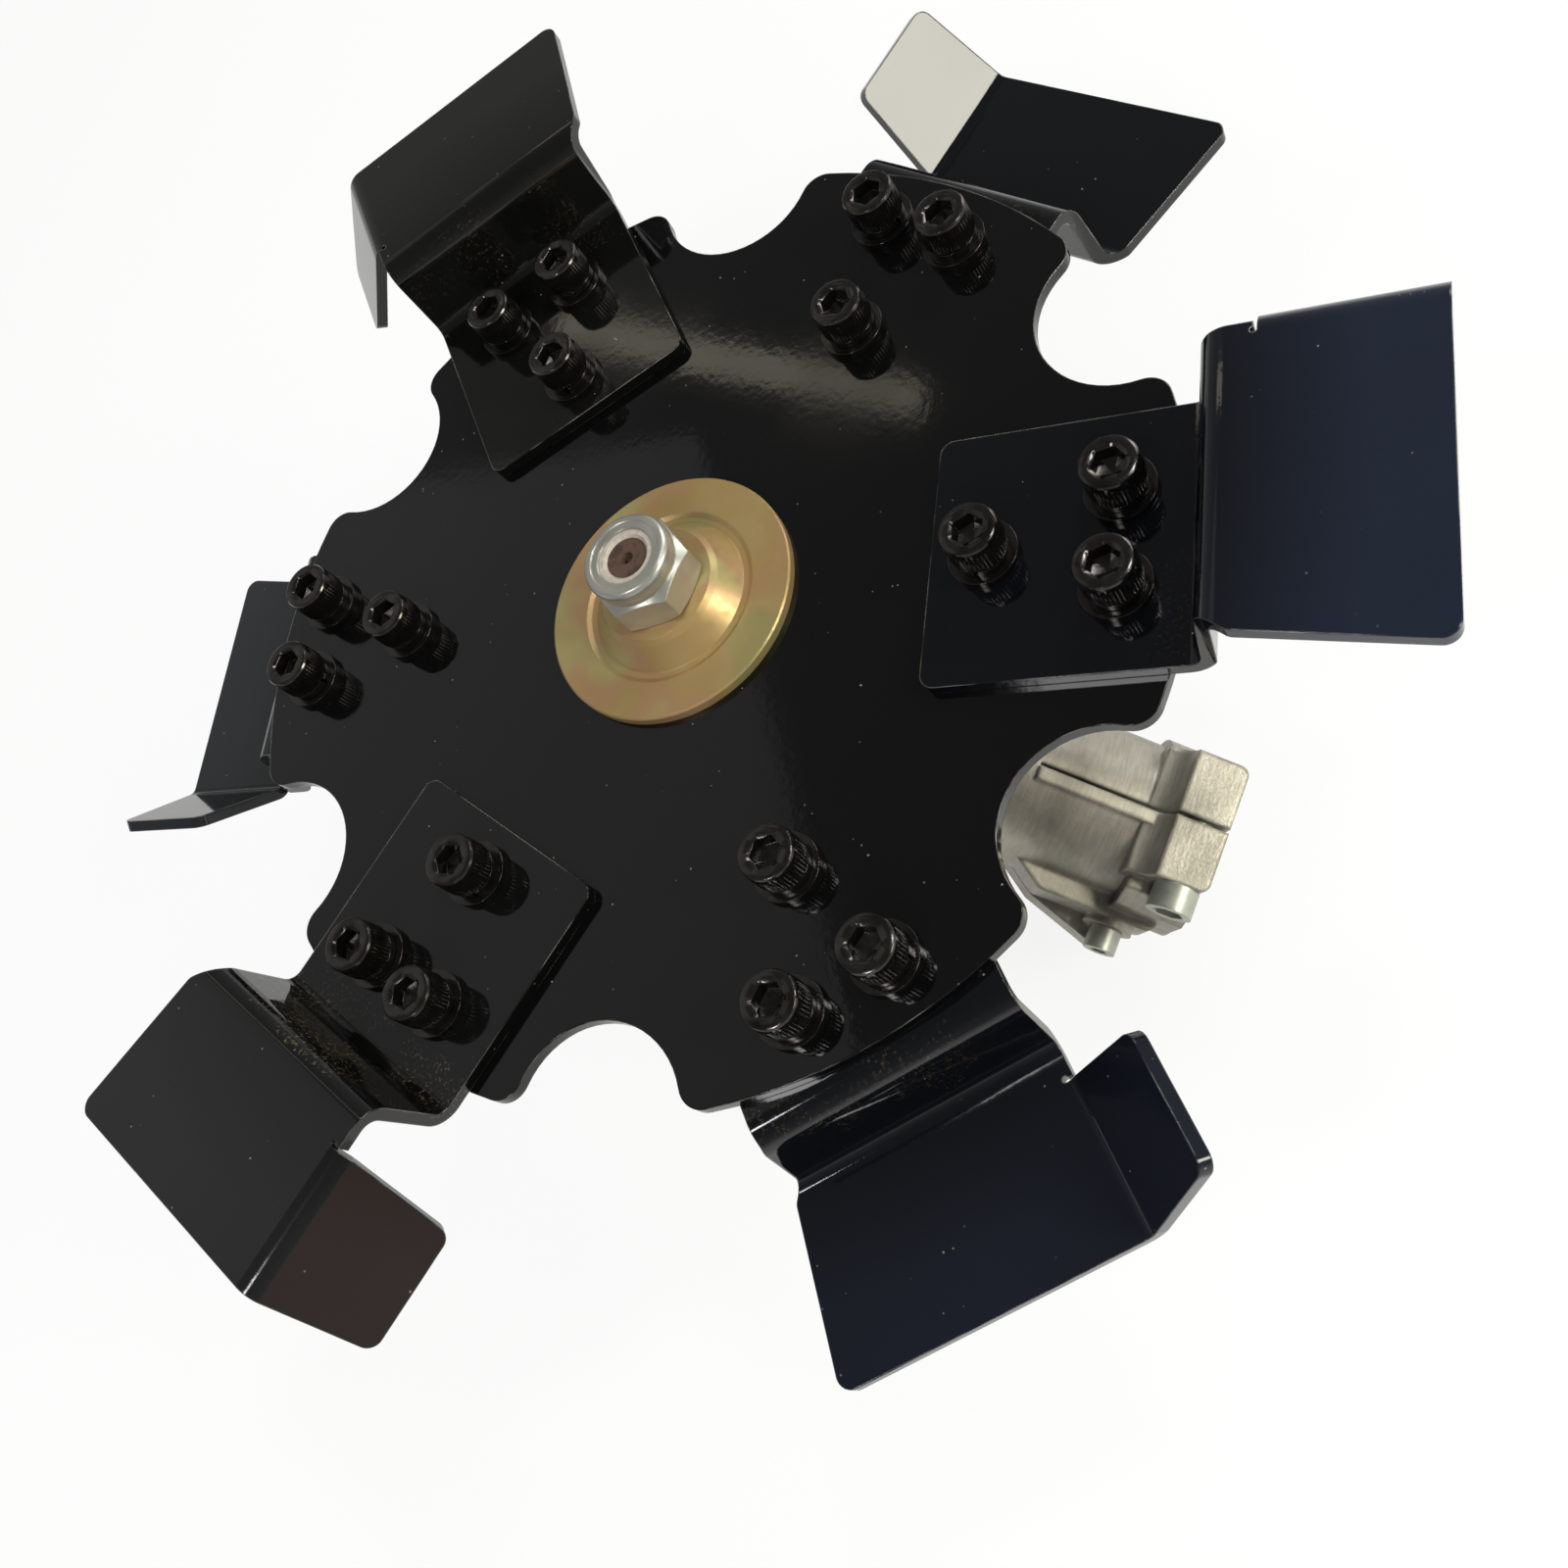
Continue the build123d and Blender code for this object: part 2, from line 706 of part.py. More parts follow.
with BuildPart() as housing:
    turned(
        [
            (0, case_base),
            (case_radius - case_toe, case_base),
            (case_radius, case_base + case_toe_height),
            (case_radius, case_shoulder),
            (case_radius - case_neck, case_shoulder + case_shoulder_run),
            (case_radius - case_neck, case_top),
            (0, case_top),
        ],
        wheel,
    )
    with BuildSketch(pole):
        Circle(barrel_radius)
    extrude(amount=mouth)

    with BuildSketch(grease_axis):
        Circle(plug_seat_radius)
    extrude(amount=case_radius)

    # The clamp: a thicker collar with a shoulder on the side of the screw's head
    with BuildSketch(pole.offset(clamp_start)):
        Circle(clamp_radius)
        Polygon(
            (0, 0),
            (0, shoulder_top),
            (-shoulder_top_side, shoulder_top),
            (-shoulder_side, shoulder_height),
            (-shoulder_side, 0),
            align=None,
        )
    extrude(amount=mouth - clamp_start)

    # The block that the clamp screw crosses, with a hollow sweep down to the barrel
    block_length = mouth - block_start + block_sweep
    with BuildSketch(plan_plane) as block_outline:
        with Locations((0, mouth - block_length / 2)):
            Rectangle(2 * block_half_width, block_length)
        fillet(block_outline.vertices().group_by(Axis.Y)[-1], block_corner)
    extrude(amount=block_top)
    with BuildSketch(side_plane):
        with Locations((block_start - block_sweep, block_top)):
            Circle(block_sweep)
    extrude(amount=block_half_width, both=True, mode=Mode.SUBTRACT)

    # Flat land beside the slot, along the top of the barrel
    with BuildSketch(pole.offset(slot_start)):
        with Locations((-land_width / 2, (barrel_radius + land_rise) / 2)):
            Rectangle(land_width, barrel_radius + land_rise)
    extrude(amount=block_start - slot_start)

    # Rib, boss and shelf for the locating screw on the barrel's side
    lug_foot = barrel_radius - lug_sink
    with BuildSketch(plan_plane.offset(-locating_head_radius)) as lug_outline:
        with BuildLine():
            Polyline(
                (0, lug_start),
                (lug_foot, lug_start),
                (lug_side, lug_start + lug_flare),
                (lug_side, lug_end),
                (0, lug_end),
                close=True,
            )
        make_face()
        fillet(lug_outline.vertices().group_by(Axis.X)[-1], lug_corner)
    extrude(amount=lug_top + locating_head_radius)
    with BuildSketch(locating_axis.offset(lug_foot)):
        Circle(boss_radius)
    extrude(amount=boss_side - lug_foot)
    with BuildSketch(plan_plane.offset(-locating_head_radius - shelf_gap)) as shelf_outline:
        with BuildLine():
            Polyline(
                (0, lug_start),
                (lug_foot, lug_start),
                (lug_side, lug_start + lug_flare),
                (shelf_side, locating_reach),
                (shelf_side, shelf_end),
                (0, shelf_end),
                close=True,
            )
        make_face()
        fillet(shelf_outline.vertices().group_by(Axis.X)[-1], lug_corner / 2)
    extrude(amount=-shelf_height)

    # Output bore: seal, circlip groove, front bearing, gear room, rear bearing
    turned(
        [
            (0, case_top),
            (front_bearing_radius, case_top),
            (front_bearing_radius, seal_base),
            (front_bearing_radius + groove_depth, seal_base),
            (front_bearing_radius + groove_depth, front_bearing_top),
            (front_bearing_radius, front_bearing_top),
            (front_bearing_radius, front_bearing_base),
            (gear_room, front_bearing_base),
            (gear_room, rear_bearing_top),
            (rear_bearing_radius, rear_bearing_top),
            (rear_bearing_radius, rear_bearing_base),
            (0, rear_bearing_base),
        ],
        wheel,
        Mode.SUBTRACT,
    )

    # Input bore: pinion room, bearings, circlip groove, stop for the pole, clamp bore
    turned(
        [
            (0, 0),
            (pinion_room, 0),
            (pinion_room, input_bearing_start),
            (input_bearing_radius, input_bearing_start),
            (input_bearing_radius, input_circlip_start),
            (input_bearing_radius + groove_depth, input_circlip_start),
            (input_bearing_radius + groove_depth, input_circlip_start + circlip_thickness),
            (input_bearing_radius, input_circlip_start + circlip_thickness),
            (input_bearing_radius, pole_stop),
            (pole_radius, pole_stop),
            (pole_radius, mouth),
            (0, mouth),
        ],
        pole,
        Mode.SUBTRACT,
    )

    # Slot that lets the clamp close
    with BuildSketch(pole.offset(slot_start)):
        with Locations((0, block_top)):
            Rectangle(slot_width, 2 * block_top)
    extrude(amount=mouth - slot_start, mode=Mode.SUBTRACT)

    # Clamp screw: pocket for its head and one hole through both jaws
    with BuildSketch(clamp_axis.offset(block_half_width)):
        Circle(clamp_head_radius + clamp_pocket_play)
    extrude(amount=clamp_radius, mode=Mode.SUBTRACT)
    with BuildSketch(clamp_axis.offset(block_half_width)):
        Circle(clamp_screw_radius)
    extrude(amount=-2 * block_half_width, mode=Mode.SUBTRACT)

    # Locating screw: radial hole through the boss into the clamp bore
    with BuildSketch(locating_axis.offset(boss_side)):
        Circle(locating_radius)
    extrude(amount=-boss_side, mode=Mode.SUBTRACT)

    # Grease hole on the side away from the pole
    with BuildSketch(grease_axis):
        Circle(plug_radius)
    extrude(amount=case_radius, mode=Mode.SUBTRACT)

save(housing.part, "housing")

with BuildPart() as clamp_screw:
    with BuildSketch(clamp_axis.offset(block_half_width)):
        Circle(clamp_head_radius)
    extrude(amount=clamp_head_length)
    with BuildSketch(clamp_axis.offset(block_half_width + clamp_head_length)):
        RegularPolygon(key_size / 2, 6, major_radius=False)
    extrude(amount=-key_depth, mode=Mode.SUBTRACT)
    with BuildSketch(clamp_axis.offset(block_half_width)):
        Circle(clamp_screw_radius)
    extrude(amount=-2 * block_half_width)

save(clamp_screw.part, "clamp_screw")

with BuildPart() as locating_screw:
    with BuildSketch(locating_axis.offset(boss_side)):
        Circle(locating_head_radius)
    extrude(amount=locating_head_length)
    with BuildSketch(locating_axis.offset(boss_side + locating_head_length)):
        RegularPolygon(locating_key / 2, 6, major_radius=False)
    extrude(amount=-locating_key / 2, mode=Mode.SUBTRACT)
    with BuildSketch(locating_axis.offset(boss_side)):
        Circle(locating_radius)
    extrude(amount=pole_radius - boss_side)

save(locating_screw.part, "locating_screw")

with BuildPart() as grease_plug:
    with BuildSketch(grease_axis.offset(case_radius)):
        RegularPolygon(plug_head_size / 2, 6, major_radius=False)
    extrude(amount=plug_head_height)
    with BuildSketch(grease_axis.offset(case_radius)):
        Circle(plug_radius)
    extrude(amount=-plug_length)

save(grease_plug.part, "grease_plug")
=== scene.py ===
import bmesh
import bpy
import json
from math import cos, pi, radians, sin, tan
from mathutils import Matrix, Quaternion, Vector


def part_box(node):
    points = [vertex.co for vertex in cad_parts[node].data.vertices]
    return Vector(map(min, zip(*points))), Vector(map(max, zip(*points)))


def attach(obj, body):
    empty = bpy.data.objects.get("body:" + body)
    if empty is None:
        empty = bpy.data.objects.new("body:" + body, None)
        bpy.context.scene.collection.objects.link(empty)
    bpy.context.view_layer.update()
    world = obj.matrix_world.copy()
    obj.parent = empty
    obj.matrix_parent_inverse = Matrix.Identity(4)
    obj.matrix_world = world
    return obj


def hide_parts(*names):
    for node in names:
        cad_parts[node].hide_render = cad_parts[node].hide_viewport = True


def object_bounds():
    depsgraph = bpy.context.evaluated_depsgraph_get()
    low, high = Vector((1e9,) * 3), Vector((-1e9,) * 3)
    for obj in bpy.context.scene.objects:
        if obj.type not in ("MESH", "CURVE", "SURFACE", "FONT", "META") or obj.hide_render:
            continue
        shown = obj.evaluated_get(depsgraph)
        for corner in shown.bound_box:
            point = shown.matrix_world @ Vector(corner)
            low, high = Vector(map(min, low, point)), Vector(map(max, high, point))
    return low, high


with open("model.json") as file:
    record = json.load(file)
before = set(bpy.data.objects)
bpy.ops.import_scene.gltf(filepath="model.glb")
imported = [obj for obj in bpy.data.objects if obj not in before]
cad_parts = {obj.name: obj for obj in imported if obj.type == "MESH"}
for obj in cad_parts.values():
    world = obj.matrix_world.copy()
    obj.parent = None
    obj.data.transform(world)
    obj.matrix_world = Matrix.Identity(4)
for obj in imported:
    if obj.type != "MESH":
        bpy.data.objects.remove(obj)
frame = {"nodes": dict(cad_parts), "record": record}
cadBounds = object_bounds()
mm = 0.001
scene = bpy.context.scene
print("frame loaded:", len(frame["nodes"]), "nodes")


def hexToLinear(hexColour, alpha=1.0):
    # sRGB hex to the linear values that the shaders want
    channels = [int(hexColour[i:i + 2], 16) / 255 for i in (1, 3, 5)]
    linear = [c / 12.92 if c <= 0.04045 else ((c + 0.055) / 1.055) ** 2.4 for c in channels]
    return (*linear, alpha)


def greyStops(pairs):
    # a ramp's stops in grey, from pairs of place and value
    return [(place, (value, value, value, 1)) for place, value in pairs]


def addNode(tree, kind, settings=None, links=None):
    # settings are properties, input values or a ramp's stops; links go from an output into an input
    node = tree.nodes.new(kind)
    for key, value in (settings or {}).items():
        if key == "stops":
            elements = node.color_ramp.elements
            elements[0].position, elements[0].color = value[0]
            elements[1].position, elements[1].color = value[-1]
            for place, colour in value[1:-1]:
                elements.new(place).color = colour
        elif isinstance(key, int) or key in node.inputs:
            node.inputs[key].default_value = value
        else:
            setattr(node, key, value)
    for key, source in (links or {}).items():
        tree.links.new(source, node.inputs[key])
    return node


def newMaterial(name):
    material = bpy.data.materials.new(name)
    material.use_nodes = True
    material.node_tree.nodes.clear()
    return material, material.node_tree


def perMetre(sizeInMm):
    # a texture scale whose pattern repeats about every sizeInMm
    return 1000 / sizeInMm


# most values of a noise lie between these two
noiseLow, noiseHigh = 0.3, 0.7
# vertices closer together than this are one
weldDistance = 1e-7

# the wheel's own layout, read from the disc; the sizes are the CAD model's
lowCorner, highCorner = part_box("disc")
wheelX, wheelY = (lowCorner[0] + highCorner[0]) / 2, (lowCorner[1] + highCorner[1]) / 2
discTop = highCorner[2]
sheet = highCorner[2] - lowCorner[2]

coatSettings = {
    # name: the coat's colour near the disc, its colour further out, and how much grime it holds
    "disc": ("#070707", "#0b0a0a", 0.0),
    "upper_blade_1": ("#090a0d", "#1e2433", 0.08),
    "lower_blade_1": ("#090a0c", "#0b0c0f", 0.15),
    "upper_blade_2": ("#0c0c0a", "#1d1d1a", 0.12),
    "lower_blade_2": ("#0c0d0e", "#202224", 0.15),
    "upper_blade_3": ("#0a0a0a", "#1a1a1b", 0.50),
    "lower_blade_3": ("#090a0d", "#151822", 0.20),
    # edge: the cut edges' pale colour, a painted highlight that also stands for coat worn thin
    "dust": "#9a958a", "edge": "#a3a09a", "grime": "#857a5c",
    "tintMm": 60, "peelMm": 1.6, "dustMm": 2.6, "patchMm": 7, "edgeMm": 0.4, "grimeMm": 0.7,
    "edgeBreakupMm": 9, "smearMm": 26, "roughness": (0.04, 0.10), "ior": 1.5,
    "peelStrength": 0.15, "peelDepth": 0.05 * mm,
    # how much shows, as pairs of the pattern's value and the share of the effect
    "tintShare": [(0.30, 0.7), (0.66, 1)], "speckShare": [(0.045, 1), (0.085, 0)],
    "patchShare": [(0.54, 0), (0.64, 0.7)], "settledShare": [(0.46, 0), (0.60, 1)],
    "edgeShare": [(0.72, 1), (0.97, 0)], "edgeBreakupShare": [(0.44, 0), (0.62, 0.8)],
    "fleckRange": (0.56, 0.68), "smearRange": (0.35, 0.70),
    "rootRadius": 98 * mm, "outRadius": 122 * mm, "bendRadius": 94 * mm, "bendWidth": 5 * mm,
}


def glossPowderCoat(name):
    # gloss powder coat on folded sheet: near-black and mirror-like with a faint orange peel, dust on the
    # flats, a pale colour on the cut edges that is a painted highlight and partly worn coat, and yellowish
    # grime settled in the bends beside the rim
    s = coatSettings
    rootColour, outColour, grimeShare = s[name]
    material, tree = newMaterial("glossPowderCoat_" + name)
    place = addNode(tree, "ShaderNodeTexCoord").outputs["Object"]
    fromAxis = addNode(tree, "ShaderNodeVectorMath", {"operation": "SUBTRACT", 1: (wheelX, wheelY, 0)},
                       {0: place})
    flatOut = addNode(tree, "ShaderNodeVectorMath", {"operation": "MULTIPLY", 1: (1, 1, 0)},
                      {0: fromAxis.outputs[0]})
    radius = addNode(tree, "ShaderNodeVectorMath", {"operation": "LENGTH"}, {0: flatOut.outputs[0]})
    outward = addNode(tree, "ShaderNodeMapRange", {1: s["rootRadius"], 2: s["outRadius"]},
                      {0: radius.outputs["Value"]})
    tint = addNode(tree, "ShaderNodeTexNoise", {"Scale": perMetre(s["tintMm"]), "Detail": 3.0},
                   {"Vector": place})
    tintMask = addNode(tree, "ShaderNodeValToRGB", {"stops": greyStops(s["tintShare"])},
                       {"Fac": tint.outputs["Fac"]})
    outMask = addNode(tree, "ShaderNodeMath", {"operation": "MULTIPLY"},
                      {0: outward.outputs[0], 1: tintMask.outputs["Color"]})
    paint = addNode(tree, "ShaderNodeMix",
                    {"data_type": "RGBA", 6: hexToLinear(rootColour), 7: hexToLinear(outColour)},
                    {0: outMask.outputs[0]})

    # dust specks: the middles of a random cell pattern, thinned out by a broad noise
    cells = addNode(tree, "ShaderNodeTexVoronoi", {"Scale": perMetre(s["dustMm"])}, {"Vector": place})
    specks = addNode(tree, "ShaderNodeValToRGB", {"stops": greyStops(s["speckShare"])},
                     {"Fac": cells.outputs["Distance"]})
    patches = addNode(tree, "ShaderNodeTexNoise", {"Scale": perMetre(s["patchMm"]), "Detail": 2.0},
                      {"Vector": place})
    patchMask = addNode(tree, "ShaderNodeValToRGB", {"stops": greyStops(s["patchShare"])},
                        {"Fac": patches.outputs["Fac"]})
    dustMask = addNode(tree, "ShaderNodeMath", {"operation": "MULTIPLY"},
                       {0: specks.outputs["Color"], 1: patchMask.outputs["Color"]})
    dusty = addNode(tree, "ShaderNodeMix", {"data_type": "RGBA", 7: hexToLinear(s["dust"])},
                    {0: dustMask.outputs[0], 6: paint.outputs[2]})

    # grime: fine flecks in a ring about the wheel's axis, where the bends are
    band = addNode(tree, "ShaderNodeMath", {"operation": "COMPARE", 1: s["bendRadius"], 2: s["bendWidth"]},
                   {0: radius.outputs["Value"]})
    flecks = addNode(tree, "ShaderNodeTexNoise",
                     {"Scale": perMetre(s["grimeMm"]), "Detail": 4.0, "Roughness": 0.7}, {"Vector": place})
    fleckStops = greyStops(zip(s["fleckRange"], (0, grimeShare)))
    fleckMask = addNode(tree, "ShaderNodeValToRGB", {"stops": fleckStops}, {"Fac": flecks.outputs["Fac"]})
    settled = addNode(tree, "ShaderNodeTexNoise", {"Scale": perMetre(s["patchMm"] * 2), "Detail": 3.0},
                      {"Vector": place})
    settledMask = addNode(tree, "ShaderNodeValToRGB", {"stops": greyStops(s["settledShare"])},
                          {"Fac": settled.outputs["Fac"]})
    bandMask = addNode(tree, "ShaderNodeMath", {"operation": "MULTIPLY"},
                       {0: settledMask.outputs["Color"], 1: band.outputs[0]})
    grimeMask = addNode(tree, "ShaderNodeMath", {"operation": "MULTIPLY"},
                        {0: fleckMask.outputs["Color"], 1: bandMask.outputs[0]})
    grimy = addNode(tree, "ShaderNodeMix", {"data_type": "RGBA", 7: hexToLinear(s["grime"])},
                    {0: grimeMask.outputs[0], 6: dusty.outputs[2]})

    # cut edges, where the rounded normal leaves the flat one: a pale painted highlight, partly also the coat
    # worn thin there
    rounded = addNode(tree, "ShaderNodeBevel", {"samples": 6, "Radius": s["edgeMm"] * mm})
    flat = addNode(tree, "ShaderNodeNewGeometry")
    facing = addNode(tree, "ShaderNodeVectorMath", {"operation": "DOT_PRODUCT"},
                     {0: rounded.outputs[0], 1: flat.outputs["Normal"]})
    rubbedAndLitEdge = addNode(tree, "ShaderNodeValToRGB", {"stops": greyStops(s["edgeShare"])},
                     {"Fac": facing.outputs["Value"]})
    edgeBreakupNoise = addNode(tree, "ShaderNodeTexNoise", {"Scale": perMetre(s["edgeBreakupMm"]), "Detail": 5.0},
                       {"Vector": place})
    edgeBreakupMask = addNode(tree, "ShaderNodeValToRGB", {"stops": greyStops(s["edgeBreakupShare"])},
                      {"Fac": edgeBreakupNoise.outputs["Fac"]})
    edgeWearAndHighlightMask = addNode(tree, "ShaderNodeMath", {"operation": "MULTIPLY"},
                       {0: rubbedAndLitEdge.outputs["Color"], 1: edgeBreakupMask.outputs["Color"]})
    wornAndHighlighted = addNode(tree, "ShaderNodeMix", {"data_type": "RGBA", 7: hexToLinear(s["edge"])},
                   {0: edgeWearAndHighlightMask.outputs[0], 6: grimy.outputs[2]})

    peel = addNode(tree, "ShaderNodeTexNoise", {"Scale": perMetre(s["peelMm"]), "Detail": 2.0},
                   {"Vector": place})
    bump = addNode(tree, "ShaderNodeBump", {"Strength": s["peelStrength"], "Distance": s["peelDepth"]},
                   {"Height": peel.outputs["Fac"], "Normal": rounded.outputs[0]})
    smear = addNode(tree, "ShaderNodeTexNoise", {"Scale": perMetre(s["smearMm"]), "Detail": 5.0},
                    {"Vector": place})
    glossStops = greyStops(zip(s["smearRange"], s["roughness"]))
    gloss = addNode(tree, "ShaderNodeValToRGB", {"stops": glossStops}, {"Fac": smear.outputs["Fac"]})
    shader = addNode(tree, "ShaderNodeBsdfPrincipled", {"IOR": s["ior"]},
                     {"Base Color": wornAndHighlighted.outputs[2], "Roughness": gloss.outputs["Color"],
                      "Normal": bump.outputs[0]})
    addNode(tree, "ShaderNodeOutputMaterial", links={"Surface": shader.outputs[0]})
    return material


metalSettings = {
    # the colours are spread over this range of the noise
    "driftRange": (0.32, 0.68), "bumpDepth": 0.2 * mm, "ringBump": 0.05, "ringDepth": 0.05 * mm,
    # black oxide on turned steel, oiled: deep black, glossy, with sharp small glints
    "blackOxide": {"colours": ["#444240", "#4f4c4a", "#3b3938"], "driftMm": 6, "grainMm": 1.2,
                   "roughness": (0.12, 0.22), "bump": 0.02, "metallic": 0.95, "edgeMm": 0.2},
    # yellow passivated zinc on pressed steel: tan and olive with pinkish clouds, satin
    "yellowZinc": {"colours": ["#9d9260", "#ad9464", "#aa8f5c", "#ad8b64", "#aa9d68", "#b7a272"],
                   "driftMm": 21, "grainMm": 1.4, "roughness": (0.30, 0.44), "bump": 0.03,
                   "metallic": 0.5, "edgeMm": 0.25},
    # bright zinc on turned nut: pale grey, satin, with the fine rings that the tool has left
    "turnedZinc": {"colours": ["#b2b1a6", "#bdbcb1", "#a9a89d"], "driftMm": 12, "grainMm": 2.0,
                   "roughness": (0.28, 0.34), "bump": 0.01, "metallic": 0.75, "edgeMm": 0.3,
                   "ringMm": 0.5},
    # bright zinc on small screws: pale grey with a soft shine
    "brightZinc": {"colours": ["#a9aca0", "#b6b9ad", "#9fa296"], "driftMm": 6, "grainMm": 1.6,
                   "roughness": (0.38, 0.46), "bump": 0.015, "metallic": 0.6, "edgeMm": 0.25},
    # turned steel that oil and light rust have browned: dull, dark brown
    "brownedSteel": {"colours": ["#503d32", "#5e493d", "#44342b"], "driftMm": 3, "grainMm": 0.5,
                     "roughness": (0.45, 0.62), "bump": 0.1, "metallic": 0.3, "edgeMm": 0.1},
    # ground and hardened steel of gears and bearings: grey and fairly bright
    "groundSteel": {"colours": ["#9d9d9b", "#adaca9", "#8e8f8d"], "driftMm": 8, "grainMm": 0.8,
                    "roughness": (0.22, 0.34), "bump": 0.03, "metallic": 1.0, "edgeMm": 0.15},
}


def finishedMetal(name):
    # a plated, oxidised or ground surface: its colour drifts, its gloss varies where hands and oil have been
    s = metalSettings[name]
    material, tree = newMaterial(name)
    place = addNode(tree, "ShaderNodeTexCoord").outputs["Object"]
    drift = addNode(tree, "ShaderNodeTexNoise", {"Scale": perMetre(s["driftMm"]), "Detail": 2.0},
                    {"Vector": place})
    driftLow, driftHigh = metalSettings["driftRange"]
    step = (driftHigh - driftLow) / (len(s["colours"]) - 1)
    stops = [(driftLow + step * i, hexToLinear(colour)) for i, colour in enumerate(s["colours"])]
    colour = addNode(tree, "ShaderNodeValToRGB", {"stops": stops}, {"Fac": drift.outputs["Fac"]})
    grain = addNode(tree, "ShaderNodeTexNoise", {"Scale": perMetre(s["grainMm"]), "Detail": 2.0},
                    {"Vector": place})
    glossStops = greyStops(zip((noiseLow, noiseHigh), s["roughness"]))
    gloss = addNode(tree, "ShaderNodeValToRGB", {"stops": glossStops}, {"Fac": grain.outputs["Fac"]})
    rounded = addNode(tree, "ShaderNodeBevel", {"samples": 4, "Radius": s["edgeMm"] * mm})
    bump = addNode(tree, "ShaderNodeBump", {"Strength": s["bump"], "Distance": metalSettings["bumpDepth"]},
                   {"Height": grain.outputs["Fac"], "Normal": rounded.outputs[0]})
    if "ringMm" in s:
        # the ring texture repeats every 2 pi / 20 of its own unit
        centred = addNode(tree, "ShaderNodeVectorMath", {"operation": "SUBTRACT", 1: (wheelX, wheelY, 0)},
                          {0: place})
        rings = addNode(tree, "ShaderNodeTexWave",
                        {"wave_type": "RINGS", "rings_direction": "Z", "Distortion": 0.4,
                         "Scale": 2 * pi / 20 * perMetre(s["ringMm"])}, {"Vector": centred.outputs[0]})
        bump = addNode(tree, "ShaderNodeBump",
                       {"Strength": metalSettings["ringBump"], "Distance": metalSettings["ringDepth"]},
                       {"Height": rings.outputs["Fac"], "Normal": bump.outputs[0]})
    shader = addNode(tree, "ShaderNodeBsdfPrincipled", {"Metallic": s["metallic"]},
                     {"Base Color": colour.outputs["Color"], "Roughness": gloss.outputs["Color"],
                      "Normal": bump.outputs[0]})
    addNode(tree, "ShaderNodeOutputMaterial", links={"Surface": shader.outputs[0]})
    return material


castSettings = {
    "tones": [(0.34, "#868277"), (0.48, "#a29d90"), (0.62, "#b5b1a4")],
    "cloudMm": 20, "grainMm": 0.6, "pitMm": 2.4, "brushMm": 0.5, "brushLength": 9, "edgeMm": 1.1,
    "poleLean": radians(30), "streakTone": (0.87, 1.07), "roughness": (0.32, 0.48), "metallic": 0.6,
    "pitDepth": 0.15, "streakDepth": 0.4, "bump": 0.18, "bumpDepth": 0.2 * mm,
}


def castAluminium():
    # sand-cast aluminium, brushed after casting: warm grey, grainy and half shiny, finely streaked
    s = castSettings
    material, tree = newMaterial("castAluminium")
    place = addNode(tree, "ShaderNodeTexCoord").outputs["Object"]
    clouds = addNode(tree, "ShaderNodeTexNoise", {"Scale": perMetre(s["cloudMm"]), "Detail": 4.0},
                     {"Vector": place})
    stops = [(value, hexToLinear(tone)) for value, tone in s["tones"]]
    colour = addNode(tree, "ShaderNodeValToRGB", {"stops": stops}, {"Fac": clouds.outputs["Fac"]})
    # the streaks run round the pole's axis, so the pattern is long across it and fine along it
    turned = addNode(tree, "ShaderNodeMapping",
                     {"vector_type": "TEXTURE", "Rotation": (s["poleLean"], 0, 0),
                      "Scale": (s["brushLength"], 1, s["brushLength"])}, {"Vector": place})
    streaks = addNode(tree, "ShaderNodeTexNoise", {"Scale": perMetre(s["brushMm"]), "Detail": 3.0},
                      {"Vector": turned.outputs[0]})
    streakStops = greyStops(zip((noiseLow, noiseHigh), s["streakTone"]))
    streakTone = addNode(tree, "ShaderNodeValToRGB", {"stops": streakStops}, {"Fac": streaks.outputs["Fac"]})
    streaked = addNode(tree, "ShaderNodeMix", {"data_type": "RGBA", "blend_type": "MULTIPLY", 0: 1.0},
                       {6: colour.outputs["Color"], 7: streakTone.outputs["Color"]})
    grain = addNode(tree, "ShaderNodeTexNoise", {"Scale": perMetre(s["grainMm"]), "Detail": 4.0},
                    {"Vector": place})
    pits = addNode(tree, "ShaderNodeTexVoronoi", {"Scale": perMetre(s["pitMm"])}, {"Vector": place})
    pitted = addNode(tree, "ShaderNodeMath", {"operation": "MULTIPLY_ADD", 1: s["pitDepth"]},
                     {0: pits.outputs["Distance"], 2: grain.outputs["Fac"]})
    height = addNode(tree, "ShaderNodeMath", {"operation": "MULTIPLY_ADD", 1: s["streakDepth"]},
                     {0: streaks.outputs["Fac"], 2: pitted.outputs[0]})
    rounded = addNode(tree, "ShaderNodeBevel", {"samples": 6, "Radius": s["edgeMm"] * mm})
    bump = addNode(tree, "ShaderNodeBump", {"Strength": s["bump"], "Distance": s["bumpDepth"]},
                   {"Height": height.outputs[0], "Normal": rounded.outputs[0]})
    glossStops = greyStops(zip((noiseLow, noiseHigh), s["roughness"]))
    gloss = addNode(tree, "ShaderNodeValToRGB", {"stops": glossStops}, {"Fac": grain.outputs["Fac"]})
    shader = addNode(tree, "ShaderNodeBsdfPrincipled", {"Metallic": s["metallic"]},
                     {"Base Color": streaked.outputs[2], "Roughness": gloss.outputs["Color"],
                      "Normal": bump.outputs[0]})
    addNode(tree, "ShaderNodeOutputMaterial", links={"Surface": shader.outputs[0]})
    return material


